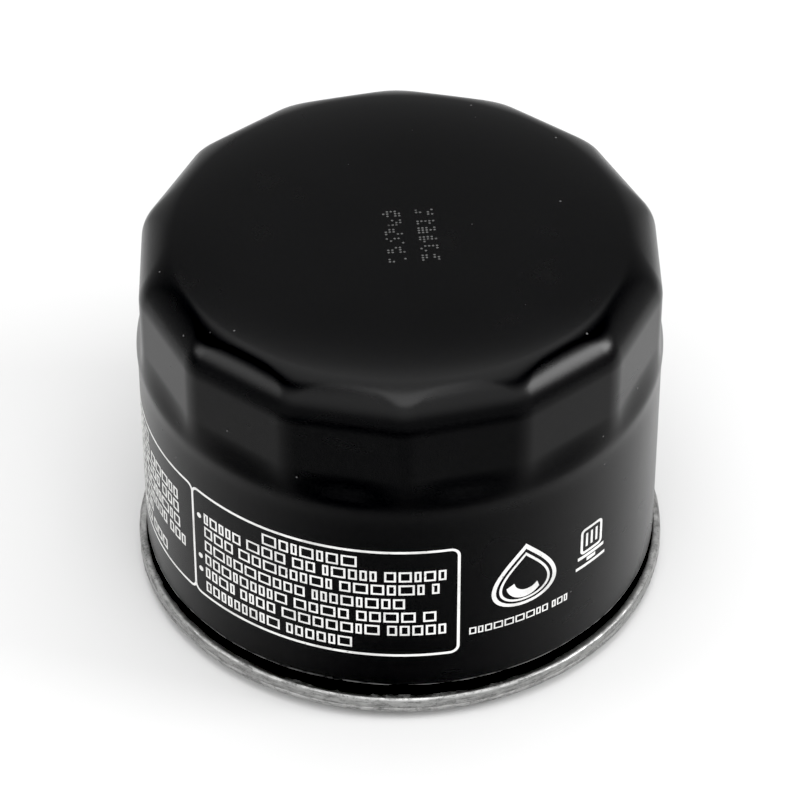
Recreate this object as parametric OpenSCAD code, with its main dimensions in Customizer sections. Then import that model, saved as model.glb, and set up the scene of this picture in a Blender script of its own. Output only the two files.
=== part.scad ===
// Spin-on engine oil filter, standing on its gasket with the closed end up.
// Origin: centre of the gasket's sealing face. +Z runs along the thread axis to the closed end.

/* [Can] */
// Outer radius of the round wall of the can
can_r = 34; // [33.5:0.1:34.5]
// Thickness of the can's sheet steel
can_t = 0.46; // [0.42:0.02:0.5]
// Height of the closed end above the gasket's sealing face
can_top = 52.95; // [52.6:0.05:54]
// How far the middle of the closed end stands above its edge
crown = 0.5; // [0.2:0.1:0.8]
// Radius that rounds the closed end into the wall
shoulder_r = 5.6; // [5:0.1:6]
// Number of wrench flats pressed into the wall
flat_count = 14; // [12:1:16]
// Height at which the flats run out into the round wall
flats_low = 39.8; // [36:0.2:40]
// Height of the sloping run-out under each flat
flats_runout = 3.4; // [1:0.1:4]

/* [Seam] */
// How far the can's wall is drawn in just above the seam
neck = 0.3; // [0.2:0.05:0.35]
// Height at which the wall reaches its full radius above the seam
neck_top = 5.5; // [5.2:0.1:5.8]
// Thickness of the seaming lid's sheet steel
lid_t = 0.45; // [0.4:0.01:0.46]
// Clearance between the folded layers
fold_gap = 0.02; // [0.01:0.01:0.02]
// Height of the seam's lower face above the gasket's sealing face
seam_low = 1.3; // [1.2:0.05:1.5]
// Height of the rolled seam
seam_h = 2.32; // [2.3:0.02:2.5]

/* [Gasket] */
// Outer radius of the gasket
gasket_r = 31.6; // [31.4:0.1:31.7]
// Inner radius of the gasket
gasket_hole_r = 27.3; // [27.25:0.05:27.6]
// Height of the gasket
gasket_h = 4.5; // [4.3:0.05:4.5]

/* [Tapping plate] */
// Wall radius of the tapped hole, the minor radius of an M20 x 1.5 thread
thread_r = 9.19; // [9.1:0.01:9.25]
// Height of the plate's lower face
plate_low = 5; // [4.99:0.01:5.04]
// Thickness of the plate
plate_t = 2.6; // [2.4:0.1:2.6]
// Height of the top of the tapped collar
collar_top = 15; // [14.5:0.1:15]
// Outer radius of the tapped collar
collar_r = 11.6; // [11.4:0.05:11.6]
// Number of oil inlet holes
inlet_count = 8; // [6:1:10]
// Radius of one inlet hole
inlet_r = 2.5; // [2:0.1:2.8]
// Radius of the circle that the inlet holes stand on
inlet_ring_r = 19.5; // [18.5:0.5:20.5]

/* [Element] */
// Height of the lower end cap's disc, at mid thickness
cap_low = 12.2; // [12.1:0.05:12.3]
// Height of the upper end cap's disc, at mid thickness
cap_high = 45.7; // [45:0.1:45.7]
// Thickness of the element's sheet steel parts
sheet_t = 0.35; // [0.3:0.01:0.36]
// Radius of the end caps' rims, at mid thickness
rim_r = 30; // [29.9:0.05:30.4]
// Outer radius of the perforated tube
tube_r = 15; // [14.9:0.05:15.1]
// Wall thickness of the perforated tube
tube_t = 0.4; // [0.3:0.05:0.5]
// Number of pleats in the filter paper
pleat_count = 40; // [32:2:42]
// Thickness of the filter paper
paper_t = 0.5; // [0.3:0.05:0.6]
// Thickness of the adhesive that each end of the paper is set in
bead_h = 2; // [1.5:0.1:2.2]

/* [Bypass valve] */
// Radius of the valve disc
valve_r = 8.6; // [8.2:0.1:8.8]
// Radius of the hole through the valve seat
seat_hole_r = 6.5; // [6:0.1:7]
// Height of the valve seat's sealing lip
seat_z = 44.4; // [44.2:0.05:44.4]
// Height of the cage's floor, at mid thickness
cage_floor = 34; // [33.6:0.1:34]

/* [Printing] */
// Lowest line of the printed panels
panel_low = 10.6; // [10:0.2:12]
// Height of the printed panels
panel_h = 17.8; // [15:0.1:18]
// Thickness of the ink
ink_t = 0.04; // [0.02:0.01:0.06]
// Width of the panels' outline
ink_line = 0.35; // [0.3:0.05:0.5]

/* [Hidden] */
$fn = 96;

// Closed end and flats
flat_half = can_r * cos(180 / flat_count);
dome_r = can_r - shoulder_r;
dome_z = can_top - crown;
crown_r = (dome_r * dome_r + crown * crown) / (2 * crown);
arc_steps = 12;

// Seam layers, at mid thickness, from the inside out
wall_mid = can_r - can_t / 2;
seam_wall_mid = wall_mid - neck;
chuck_mid = seam_wall_mid - can_t / 2 - fold_gap - lid_t / 2;
cover_mid = seam_wall_mid + can_t / 2 + fold_gap + lid_t / 2;
hook_mid = cover_mid + lid_t / 2 + fold_gap + can_t / 2;
outer_mid = hook_mid + can_t / 2 + fold_gap + lid_t / 2;
lid_floor = seam_low + lid_t / 2;
can_floor = lid_floor + lid_t / 2 + fold_gap + can_t / 2;
seam_top = seam_low + seam_h - lid_t / 2;
hook_top = seam_top - lid_t / 2 - 0.27;
fold_r = 0.3;

// Gasket channel and plate
roof_mid = plate_low - 0.02 - lid_t / 2;
channel_mid = gasket_r + 0.18 + lid_t / 2;
lip_mid = gasket_hole_r - 0.12 - lid_t / 2;
plate_r = chuck_mid - lid_t / 2 - 0.07;
plate_high = plate_low + plate_t;
mouth_r = 1.5;

// Element
neck_mid = 13.05;
disc_low_top = cap_low + sheet_t / 2;
disc_high_under = cap_high - sheet_t / 2;
bead_in_r = tube_r + 0.3;
bead_out_r = rim_r - sheet_t / 2 - 0.1;
pleat_out_r = 28.9;
pleat_in_r = bead_in_r + 0.4 + paper_t / 2;
cage_mid = 10.2;
cage_top = disc_high_under - 0.02 - sheet_t / 2;

// Azimuths of the printed panels' upright lines, counted from -Y towards +X
panel_edges = [-117, -52, 11.5];

// Springs: wire radius, radius of the coil at its foot and head, turns, and the heights they span
bypass_wire_r = 0.45;
bypass_coil_r = 5.4;
bypass_turns = 5.5;
bypass_spring_low = cage_floor + sheet_t / 2 + 0.03;
bypass_spring_high = seat_z - 1.6;
hold_wire_r = 0.7;
hold_foot_r = 14;
hold_head_r = 11.4;
hold_turns = 3;
hold_low = cap_high + sheet_t / 2 + 0.05;
hold_high = can_top - can_t - 0.16;

// ---- Sheet metal drawn as a bent path with a thickness ----

function unit(v) = v / norm(v);

function turned(v, a) = [v[0] * cos(a) - v[1] * sin(a), v[0] * sin(a) + v[1] * cos(a)];

// The arc of radius r that joins side a-p to side p-b
function bend(a, p, b, r) =
    let (
        u = unit(a - p),
        v = unit(b - p),
        half = acos(u * v) / 2,
        centre = p + unit(u + v) * r / sin(half),
        start = p + u * r / tan(half) - centre,
        swing = (180 - 2 * half) * sign(cross(p - a, b - p))
    )
    [for (i = [0:6]) centre + turned(start, swing * i / 6)];

// A path with every inner corner rounded
function rounded(path, r) =
    let (last = len(path) - 1)
    [
        for (i = [0:last])
            each (i == 0 || i == last ? [path[i]] : bend(path[i - 1], path[i], path[i + 1], r))
    ];

// The sideways step from each point of a path to the sheet's face
function face_steps(path, t) =
    let (
        last = len(path) - 1,
        dir = [for (i = [0:last - 1]) unit(path[i + 1] - path[i])]
    )
    [
        for (i = [0:last])
            let (a = dir[max(i - 1, 0)], b = dir[min(i, last - 1)], m = unit(a + b))
            [-m[1], m[0]] * t / 2 / (m * b)
    ];

// The closed outline of a sheet of thickness t along a path
function sheet(path, t) =
    let (step = face_steps(path, t), last = len(path) - 1)
    concat(
        [for (i = [0:last]) path[i] + step[i]],
        [for (i = [last:-1:0]) path[i] - step[i]]
    );

module spun_sheet(path, t, r = 0.6) {
    rotate_extrude() polygon(sheet(rounded(path, r), t));
}

module ring(inner, outer, low, high) {
    rotate_extrude() translate([inner, low]) square([outer - inner, high - low]);
}

// ---- Coil springs ----

// Height gained after v turns: a close-wound turn at each end, and an even pitch between
function rise(v, turns, total, end) =
    v < 1 ? end * v
    : v > turns - 1 ? total - end * (turns - v)
    : end + (total - 2 * end) * (v - 1) / (turns - 2);

module coil(foot_r, head_r, wire_r, turns, low, high, end) {
    sides = 8;
    steps = ceil(turns * 20);
    points = [
        for (i = [0:steps])
            let (
                v = turns * i / steps,
                r = foot_r + (head_r - foot_r) * v / turns,
                z = low + wire_r + rise(v, turns, high - low - 2 * wire_r, end)
            )
            for (j = [0:sides - 1])
                let (a = 360 * j / sides, q = r + wire_r * cos(a))
                [q * cos(360 * v), q * sin(360 * v), z + wire_r * sin(a)]
    ];
    walls = [
        for (i = [0:steps - 1])
            for (j = [0:sides - 1])
                let (k = (j + 1) % sides, p = i * sides, q = p + sides)
                each [[p + j, q + j, q + k], [p + j, q + k, p + k]]
    ];
    caps = [
        [for (j = [0:sides - 1]) j],
        [for (j = [sides - 1:-1:0]) steps * sides + j]
    ];
    polyhedron(points, concat(walls, caps));
}

// ---- Housing ----

// Half section of the can's outer surface, or of its inner one when inset by the sheet
function can_section(inset, low) =
    concat(
        [[0, low], [can_r - inset, low]],
        [
            for (i = [0:arc_steps])
                let (a = 90 * i / arc_steps, r = shoulder_r - inset)
                [dome_r + r * cos(a), dome_z - shoulder_r + r * sin(a)]
        ],
        [
            for (i = [1:arc_steps])
                let (x = dome_r * (1 - i / arc_steps))
                [x, can_top - inset - crown_r + sqrt(crown_r * crown_r - x * x)]
        ]
    );

// What the press takes off one side: a flat, a slope under it back to the round wall, and a shoulder over it
module flat_cutter(inset) {
    face = flat_half - inset;
    bend_r = shoulder_r - inset;
    depth = 3;
    slope = flats_runout * depth / (can_r - flat_half);
    shoulder_x = face - bend_r;
    shoulder_z = can_top - shoulder_r - crown_r + sqrt(crown_r * crown_r - shoulder_x * shoulder_x);
    rotate([90, 0, 0])
        translate([0, 0, -can_r / 2])
            linear_extrude(can_r)
                polygon(concat(
                    [
                        [face, flats_low], [face + depth, flats_low - slope],
                        [face + depth, can_top + 1], [shoulder_x, can_top + 1]
                    ],
                    [
                        for (i = [arc_steps:-1:0])
                            let (a = 90 * i / arc_steps)
                            [shoulder_x + bend_r * cos(a), shoulder_z + bend_r * sin(a)]
                    ]
                ));
}

module can_body(inset, low) {
    difference() {
        rotate_extrude() polygon(can_section(inset, low));
        for (i = [0:flat_count - 1])
            rotate(90 + 360 * (i + 0.5) / flat_count) flat_cutter(inset);
    }
}

module can() {
    foot = neck_top + 0.6;
    color([0.05, 0.05, 0.05]) {
        difference() {
            can_body(0, foot);
            can_body(can_t, foot - 1);
        }
        spun_sheet(
            [
                [hook_mid, hook_top], [hook_mid, can_floor],
                [seam_wall_mid, can_floor], [seam_wall_mid, neck_top - 1.1],
                [wall_mid, neck_top], [wall_mid, foot]
            ],
            can_t, fold_r
        );
    }
}

module seaming_lid() {
    channel_floor = 4;
    color([0.72, 0.72, 0.7])
        spun_sheet(
            [
                [cover_mid, can_floor + can_t / 2 + 0.07], [cover_mid, seam_top],
                [outer_mid, seam_top], [outer_mid, lid_floor],
                [chuck_mid, lid_floor], [chuck_mid, channel_floor],
                [channel_mid, channel_floor], [channel_mid, roof_mid],
                [lip_mid, roof_mid], [lip_mid, 2.2]
            ],
            lid_t, fold_r
        );
}

module seam_compound() {
    color([0.75, 0.7, 0.5])
        ring(hook_mid - 0.15, hook_mid + 0.15, hook_top + 0.02, hook_top + 0.22);
}

module tapping_plate() {
    color([0.62, 0.63, 0.6])
        difference() {
            rotate_extrude()
                polygon(concat(
                    [[plate_r - 0.3, plate_low], [plate_r, plate_low + 0.3]],
                    [[plate_r, plate_high - 0.3], [plate_r - 0.3, plate_high]],
                    [[collar_r, plate_high], [collar_r, collar_top - 0.3]],
                    [[collar_r - 0.3, collar_top], [thread_r + 0.5, collar_top]],
                    [[thread_r, collar_top - 0.5], [thread_r, plate_low + mouth_r]],
                    [
                        for (i = [1:6])
                            let (a = 15 * i)
                            [thread_r + mouth_r * (1 - cos(a)), plate_low + mouth_r * (1 - sin(a))]
                    ]
                ));
            for (i = [0:inlet_count - 1])
                rotate(360 * (i + 0.5) / inlet_count)
                    translate([inlet_ring_r, 0, plate_low - 1])
                        cylinder(r = inlet_r, h = plate_t + 2);
        }
}

module gasket() {
    edge = 0.7;
    lip = 0.2;
    color([0.09, 0.09, 0.09])
        rotate_extrude()
            polygon([
                [gasket_hole_r + edge, 0], [gasket_r - edge, 0],
                [gasket_r - lip, edge - lip], [gasket_r, edge],
                [gasket_r, gasket_h - edge], [gasket_r - edge, gasket_h],
                [gasket_hole_r + edge, gasket_h], [gasket_hole_r, gasket_h - edge],
                [gasket_hole_r, edge], [gasket_hole_r + lip, edge - lip]
            ]);
}

module anti_drain_valve() {
    bore = collar_r + 0.1;
    sleeve = bore + 0.9;
    color([0.8, 0.3, 0.12])
        rotate_extrude()
            polygon([
                [bore, plate_high + 0.06], [sleeve + 0.5, plate_high + 0.06],
                [sleeve + 1.6, 9.2], [24.4, 8.1], [24.9, plate_high + 0.05],
                [25.7, plate_high + 0.05], [25.9, 8.8], [sleeve + 1.6, 10.3],
                [sleeve, 10.9], [sleeve, 13.4], [sleeve - 0.2, 13.6], [bore, 13.6]
            ]);
}

// ---- Filter element ----

module lower_end_cap() {
    color([0.7, 0.71, 0.7])
        spun_sheet(
            [
                [rim_r, cap_low + 2.8], [rim_r, cap_low], [neck_mid, cap_low],
                [neck_mid, collar_top + 0.25], [10.4, collar_top + 0.25]
            ],
            sheet_t
        );
}

module upper_end_cap() {
    color([0.7, 0.71, 0.7])
        spun_sheet([[rim_r, cap_high - 2.8], [rim_r, cap_high], [9.6, cap_high]], sheet_t);
}

module centre_tube() {
    hole_r = 1.8;
    rows = 5;
    columns = 10;
    low = disc_low_top + 0.03;
    high = disc_high_under - 0.03;
    pitch = (high - low - 8) / (rows - 1);
    color([0.66, 0.67, 0.68])
        difference() {
            ring(tube_r - tube_t, tube_r, low, high);
            for (row = [0:rows - 1])
                for (i = [0:columns - 1])
                    rotate(360 / columns * (i + 0.5 * (row % 2)))
                        translate([tube_r - 2, 0, low + 4 + pitch * row])
                            rotate([0, 90, 0])
                                cylinder(r = hole_r, h = 4);
        }
}

// Mid line of the folded paper: a flat fold at each outer and inner edge
function pleat_line() =
    let (fold = 0.45)
    [
        for (i = [0:pleat_count - 1])
            let (out = 360 * i / pleat_count, in = out + 180 / pleat_count)
            each [
                turned([pleat_out_r, -fold], out), turned([pleat_out_r, fold], out),
                turned([pleat_in_r, -fold], in), turned([pleat_in_r, fold], in)
            ]
    ];

// The same sideways steps as face_steps, for a closed loop
function loop_steps(loop, t) =
    let (n = len(loop))
    [
        for (i = [0:n - 1])
            let (
                a = unit(loop[i] - loop[(i + n - 1) % n]),
                b = unit(loop[(i + 1) % n] - loop[i]),
                m = unit(a + b)
            )
            [-m[1], m[0]] * t / 2 / (m * b)
    ];

module pleated_paper() {
    loop = pleat_line();
    step = loop_steps(loop, paper_t);
    n = len(loop);
    low = disc_low_top + 0.6;
    high = disc_high_under - 0.6;
    color([0.85, 0.72, 0.42])
        translate([0, 0, low])
            linear_extrude(high - low)
                polygon(
                    concat(
                        [for (i = [0:n - 1]) loop[i] - step[i]],
                        [for (i = [0:n - 1]) loop[i] + step[i]]
                    ),
                    [[for (i = [0:n - 1]) i], [for (i = [0:n - 1]) n + i]]
                );
}

module pleat_clip() {
    low = disc_low_top + bead_h + 0.3;
    high = disc_high_under - bead_h - 0.3;
    half = 1;
    back = pleat_out_r + paper_t / 2 + 0.1;
    color([0.75, 0.76, 0.76])
        translate([0, 0, low])
            linear_extrude(high - low)
                polygon(sheet(
                    rounded([[back - 4, half], [back + 0.15, half], [back + 0.15, -half], [back - 4, -half]], 0.3),
                    0.3
                ));
}

// A ring of adhesive that starts at the cap's floor, with a bevel that clears the cap's rounded corner
module bead() {
    bevel = 0.5;
    color([0.45, 0.16, 0.1])
        rotate_extrude()
            polygon([
                [bead_in_r, 0.02], [bead_out_r - bevel, 0.02], [bead_out_r, bevel],
                [bead_out_r, bead_h], [bead_in_r, bead_h]
            ]);
}

module lower_adhesive() {
    translate([0, 0, disc_low_top]) bead();
}

module upper_adhesive() {
    translate([0, 0, disc_high_under]) mirror([0, 0, 1]) bead();
}

// ---- Bypass valve, set in the upper end cap ----

module bypass_seat() {
    flange = cap_high + sheet_t / 2 + 0.02;
    color([0.15, 0.16, 0.17])
        rotate_extrude()
            polygon([
                [seat_hole_r, seat_z], [seat_hole_r + 0.8, seat_z],
                [seat_hole_r + 1.2, seat_z + 0.4], [9.3, seat_z + 0.4],
                [9.3, flange], [11.5, flange], [11.5, flange + 0.5], [11.2, flange + 0.8],
                [seat_hole_r + 0.4, flange + 0.8], [seat_hole_r, flange + 0.4]
            ]);
}

module bypass_seal() {
    color([0.1, 0.1, 0.1]) ring(0, valve_r, seat_z - 1.05, seat_z - 0.05);
}

module bypass_poppet() {
    disc = seat_z - 1.07;
    color([0.7, 0.7, 0.72])
        rotate_extrude()
            polygon([
                [0, disc], [valve_r, disc], [valve_r, disc - 0.5], [4.4, disc - 0.5],
                [4.2, disc - 2.6], [3.8, disc - 3], [3.5, disc - 3], [3.5, disc - 0.9], [0, disc - 0.9]
            ]);
}

module bypass_spring() {
    color([0.6, 0.6, 0.62])
        coil(
            bypass_coil_r, bypass_coil_r, bypass_wire_r, bypass_turns,
            bypass_spring_low, bypass_spring_high, 2.06 * bypass_wire_r
        );
}

module bypass_cage() {
    windows = 4;
    window_w = 7;
    window_low = cage_floor + 1.6;
    color([0.72, 0.72, 0.74])
        difference() {
            spun_sheet(
                [[12.4, cage_top], [cage_mid, cage_top], [cage_mid, cage_floor], [3, cage_floor]],
                sheet_t, 0.5
            );
            for (i = [0:windows / 2 - 1])
                rotate(180 * i / (windows / 2))
                    translate([-tube_r, -window_w / 2, window_low])
                        cube([2 * tube_r, window_w, cage_top - 2 - window_low]);
        }
}

module element_spring() {
    color([0.6, 0.6, 0.62])
        coil(hold_foot_r, hold_head_r, hold_wire_r, hold_turns, hold_low, hold_high, 1.2);
}

// ---- Ink on the can's round wall ----

// A patch of ink from one azimuth to another, counted from -Y towards +X
module ink_patch(from, to, low, high) {
    rotate(from - 90)
        rotate_extrude(angle = to - from)
            translate([can_r, low]) square([ink_t, high - low]);
}

// Two panels side by side, then a mark, its caption and a small sign
module ink_print() {
    panel_high = panel_low + panel_h;
    rows = 7;
    row_pitch = (panel_h - 2.4) / rows;
    row_h = 1.2;
    half_line = ink_line / can_r * 90 / PI;
    gap = 0.15;
    color([0.9, 0.9, 0.9]) {
        for (edge = panel_edges)
            ink_patch(edge - half_line, edge + half_line, panel_low, panel_high);
        for (i = [0:len(panel_edges) - 2]) {
            from = panel_edges[i] + half_line + gap;
            to = panel_edges[i + 1] - half_line - gap;
            ink_patch(from, to, panel_low, panel_low + ink_line);
            ink_patch(from, to, panel_high - ink_line, panel_high);
            for (row = [0:rows - 1])
                let (low = panel_low + 1.4 + row_pitch * row)
                    ink_patch(from + 2.4, to - 2.4, low, low + row_h);
        }
        ink_patch(20, 33, 16, 25.6);
        ink_patch(13.6, 39.8, 13.1, 14.3);
        ink_patch(41, 48.4, 16.6, 24.6);
    }
}

can();
seaming_lid();
seam_compound();
tapping_plate();
gasket();
anti_drain_valve();
lower_end_cap();
upper_end_cap();
centre_tube();
pleated_paper();
pleat_clip();
lower_adhesive();
upper_adhesive();
bypass_seat();
bypass_seal();
bypass_poppet();
bypass_spring();
bypass_cage();
element_spring();
ink_print();
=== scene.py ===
"""Looks of a small spin-on oil filter: drawn can, rolled seam, gasket, tapped plate and pleated element."""

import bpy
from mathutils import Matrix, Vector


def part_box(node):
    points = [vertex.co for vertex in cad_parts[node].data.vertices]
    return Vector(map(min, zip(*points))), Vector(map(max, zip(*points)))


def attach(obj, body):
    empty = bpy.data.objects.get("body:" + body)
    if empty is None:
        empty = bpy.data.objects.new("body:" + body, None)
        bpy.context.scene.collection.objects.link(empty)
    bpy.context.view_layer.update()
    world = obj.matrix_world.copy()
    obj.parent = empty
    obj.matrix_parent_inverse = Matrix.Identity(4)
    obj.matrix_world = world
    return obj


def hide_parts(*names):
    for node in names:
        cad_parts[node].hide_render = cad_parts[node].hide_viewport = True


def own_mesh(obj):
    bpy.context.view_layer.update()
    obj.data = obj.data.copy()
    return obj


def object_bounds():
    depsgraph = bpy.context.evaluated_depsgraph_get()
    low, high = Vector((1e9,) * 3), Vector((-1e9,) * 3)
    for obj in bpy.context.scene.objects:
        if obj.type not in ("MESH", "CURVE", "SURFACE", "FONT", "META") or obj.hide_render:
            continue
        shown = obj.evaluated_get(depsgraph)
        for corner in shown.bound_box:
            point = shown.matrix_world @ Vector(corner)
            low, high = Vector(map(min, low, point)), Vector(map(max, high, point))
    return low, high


bl_info = {
    "name": "Spin-on oil filter",
    "version": (1, 0, 0),
    "blender": (4, 5, 0),
    "location": "View3D > Sidebar > Oil filter",
    "description": "Builds the oil filter's pieces, their finishes and a plain studio",
    "category": "Object",
}

import math
import random

import bmesh
import bpy
import numpy as np
from mathutils import Vector

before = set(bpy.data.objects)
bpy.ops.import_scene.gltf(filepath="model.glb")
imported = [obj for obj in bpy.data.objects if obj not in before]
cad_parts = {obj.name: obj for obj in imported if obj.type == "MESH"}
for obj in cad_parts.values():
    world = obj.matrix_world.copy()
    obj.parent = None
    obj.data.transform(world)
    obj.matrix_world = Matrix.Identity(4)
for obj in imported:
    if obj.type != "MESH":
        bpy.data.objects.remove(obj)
CAD_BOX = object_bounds()
MM = 0.001
WHITE = (1.0, 1.0, 1.0, 1.0)

GASKET_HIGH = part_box("gasket")[1]
CAN_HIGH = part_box("can")[1]
PLATE_LOW, PLATE_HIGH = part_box("tapping_plate")
LID_LOW, LID_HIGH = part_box("seaming_lid")


# ---- Sizes and colours ----


class CanSettings(bpy.types.PropertyGroup):
    """The drawn can."""

    wall_radius: bpy.props.FloatProperty(
        name="Wall radius", description="Outer radius of the can's round wall",
        default=0.034, unit="LENGTH", subtype="DISTANCE",
    )
    height: bpy.props.FloatProperty(
        name="Closed end", description="Height of the closed end above the gasket's sealing face",
        default=CAN_HIGH.z, unit="LENGTH", subtype="DISTANCE",
    )
    sheet: bpy.props.FloatProperty(
        name="Sheet", description="Thickness of the can's sheet steel",
        default=0.00046, unit="LENGTH", subtype="DISTANCE", precision=5,
    )
    shoulder: bpy.props.FloatProperty(
        name="Shoulder radius", description="Radius that rounds the closed end into the wall",
        default=0.0056, unit="LENGTH", subtype="DISTANCE",
    )
    crown: bpy.props.FloatProperty(
        name="Crown", description="How far the closed end's middle stands above its edge",
        default=0.0005, unit="LENGTH", subtype="DISTANCE", precision=5,
    )
    neck: bpy.props.FloatProperty(
        name="Neck", description="How far the wall draws in just above the seam",
        default=0.0003, unit="LENGTH", subtype="DISTANCE", precision=5,
    )
    neck_top: bpy.props.FloatProperty(
        name="Neck height", description="Height at which the wall has its full radius again",
        default=0.0051, unit="LENGTH", subtype="DISTANCE", precision=5,
    )
    flat_count: bpy.props.IntProperty(
        name="Wrench flats", description="Number of flats pressed round the closed end", default=14,
    )
    flats_low: bpy.props.FloatProperty(
        name="Foot of the flats", description="Height at which the flats have faded into the round wall",
        default=0.0352, unit="LENGTH", subtype="DISTANCE",
    )
    flats_full: bpy.props.FloatProperty(
        name="Full flats", description="Height from which the flats have their full depth",
        default=0.040, unit="LENGTH", subtype="DISTANCE",
    )
    corner_radius: bpy.props.FloatProperty(
        name="Corner radius", description="Radius of the soft corners between two flats",
        default=0.006, unit="LENGTH", subtype="DISTANCE",
    )
    paint: bpy.props.FloatVectorProperty(
        name="Paint", description="Colour of the baked enamel", size=4, subtype="COLOR",
        default=(0.0012, 0.0012, 0.0013, 1.0), min=0, max=1,
    )


class SeamSettings(bpy.types.PropertyGroup):
    """The seaming lid, whose rim is rolled with the can's foot."""

    outer_radius: bpy.props.FloatProperty(
        name="Seam radius", description="Outer radius of the rolled seam",
        default=LID_HIGH.x, unit="LENGTH", subtype="DISTANCE",
    )
    low: bpy.props.FloatProperty(
        name="Seam foot", description="Height of the seam's lower face",
        default=LID_LOW.z, unit="LENGTH", subtype="DISTANCE",
    )
    tall: bpy.props.FloatProperty(
        name="Seam height", description="Height of the rolled seam",
        default=0.00232, unit="LENGTH", subtype="DISTANCE", precision=5,
    )
    sheet: bpy.props.FloatProperty(
        name="Sheet", description="Thickness of the lid's sheet steel",
        default=0.00045, unit="LENGTH", subtype="DISTANCE", precision=5,
    )
    tin: bpy.props.FloatVectorProperty(
        name="Tin", description="Colour of the tinned steel", size=4, subtype="COLOR",
        default=(0.38, 0.38, 0.375, 1.0), min=0, max=1,
    )


class BaseSettings(bpy.types.PropertyGroup):
    """The tapped plate, the gasket and the anti-drain valve."""

    thread_radius: bpy.props.FloatProperty(
        name="Thread minor radius", description="Radius of the thread's crests",
        default=0.00919, unit="LENGTH", subtype="DISTANCE", precision=5,
    )
    thread_pitch: bpy.props.FloatProperty(
        name="Thread pitch", description="Distance from one thread to the next",
        default=0.0015, unit="LENGTH", subtype="DISTANCE", precision=5,
    )
    inlet_count: bpy.props.IntProperty(
        name="Oil inlets", description="Number of oil inlet holes", default=8,
    )
    inlet_radius: bpy.props.FloatProperty(
        name="Inlet radius", description="Radius of one oil inlet hole",
        default=0.0025, unit="LENGTH", subtype="DISTANCE",
    )
    inlet_circle: bpy.props.FloatProperty(
        name="Inlet circle", description="Radius of the circle that the inlet holes stand on",
        default=0.0195, unit="LENGTH", subtype="DISTANCE",
    )
    gasket_bore: bpy.props.FloatProperty(
        name="Gasket bore", description="Inner radius of the gasket",
        default=0.0273, unit="LENGTH", subtype="DISTANCE", precision=5,
    )
    zinc: bpy.props.FloatVectorProperty(
        name="Zinc", description="Colour of the zinc-plated plate", size=4, subtype="COLOR",
        default=(0.50, 0.50, 0.47, 1.0), min=0, max=1,
    )
    gasket_rubber: bpy.props.FloatVectorProperty(
        name="Gasket rubber", description="Colour of the nitrile rubber", size=4, subtype="COLOR",
        default=(0.018, 0.018, 0.019, 1.0), min=0, max=1,
    )
    valve_rubber: bpy.props.FloatVectorProperty(
        name="Valve rubber", description="Colour of the silicone rubber", size=4, subtype="COLOR",
        default=(0.62, 0.13, 0.035, 1.0), min=0, max=1,
    )


class ElementSettings(bpy.types.PropertyGroup):
    """The pleated element and its springs."""

    pleats: bpy.props.IntProperty(
        name="Pleats", description="Number of pleats in the filter paper", default=40,
    )
    paper: bpy.props.FloatProperty(
        name="Paper thickness", description="Thickness of the filter paper",
        default=0.0005, unit="LENGTH", subtype="DISTANCE", precision=5,
    )
    paper_colour: bpy.props.FloatVectorProperty(
        name="Paper", description="Colour of the resin-treated paper", size=4, subtype="COLOR",
        default=(0.66, 0.46, 0.20, 1.0), min=0, max=1,
    )
    adhesive: bpy.props.FloatVectorProperty(
        name="Adhesive", description="Colour of the cured adhesive", size=4, subtype="COLOR",
        default=(0.26, 0.055, 0.035, 1.0), min=0, max=1,
    )
    hold_wire: bpy.props.FloatProperty(
        name="Element spring wire", description="Wire radius of the spring that holds the element down",
        default=0.0007, unit="LENGTH", subtype="DISTANCE", precision=5,
    )
    bypass_wire: bpy.props.FloatProperty(
        name="Bypass spring wire", description="Wire radius of the bypass valve's spring",
        default=0.00045, unit="LENGTH", subtype="DISTANCE", precision=5,
    )


class PrintSettings(bpy.types.PropertyGroup):
    """The white printing on the can's wall."""

    ink: bpy.props.FloatVectorProperty(
        name="Ink", description="Colour of the screen-printed ink", size=4, subtype="COLOR",
        default=(0.62, 0.62, 0.61, 1.0), min=0, max=1,
    )
    film: bpy.props.FloatProperty(
        name="Film", description="How far the ink stands above the paint",
        default=0.00003, unit="LENGTH", subtype="DISTANCE", precision=5,
    )
    line: bpy.props.FloatProperty(
        name="Line", description="Width of the panels' outline",
        default=0.00037, unit="LENGTH", subtype="DISTANCE", precision=5,
    )
    seed: bpy.props.IntProperty(
        name="Seed", description="Picks the widths of the blocks and the dots of the code", default=7,
    )


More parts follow.
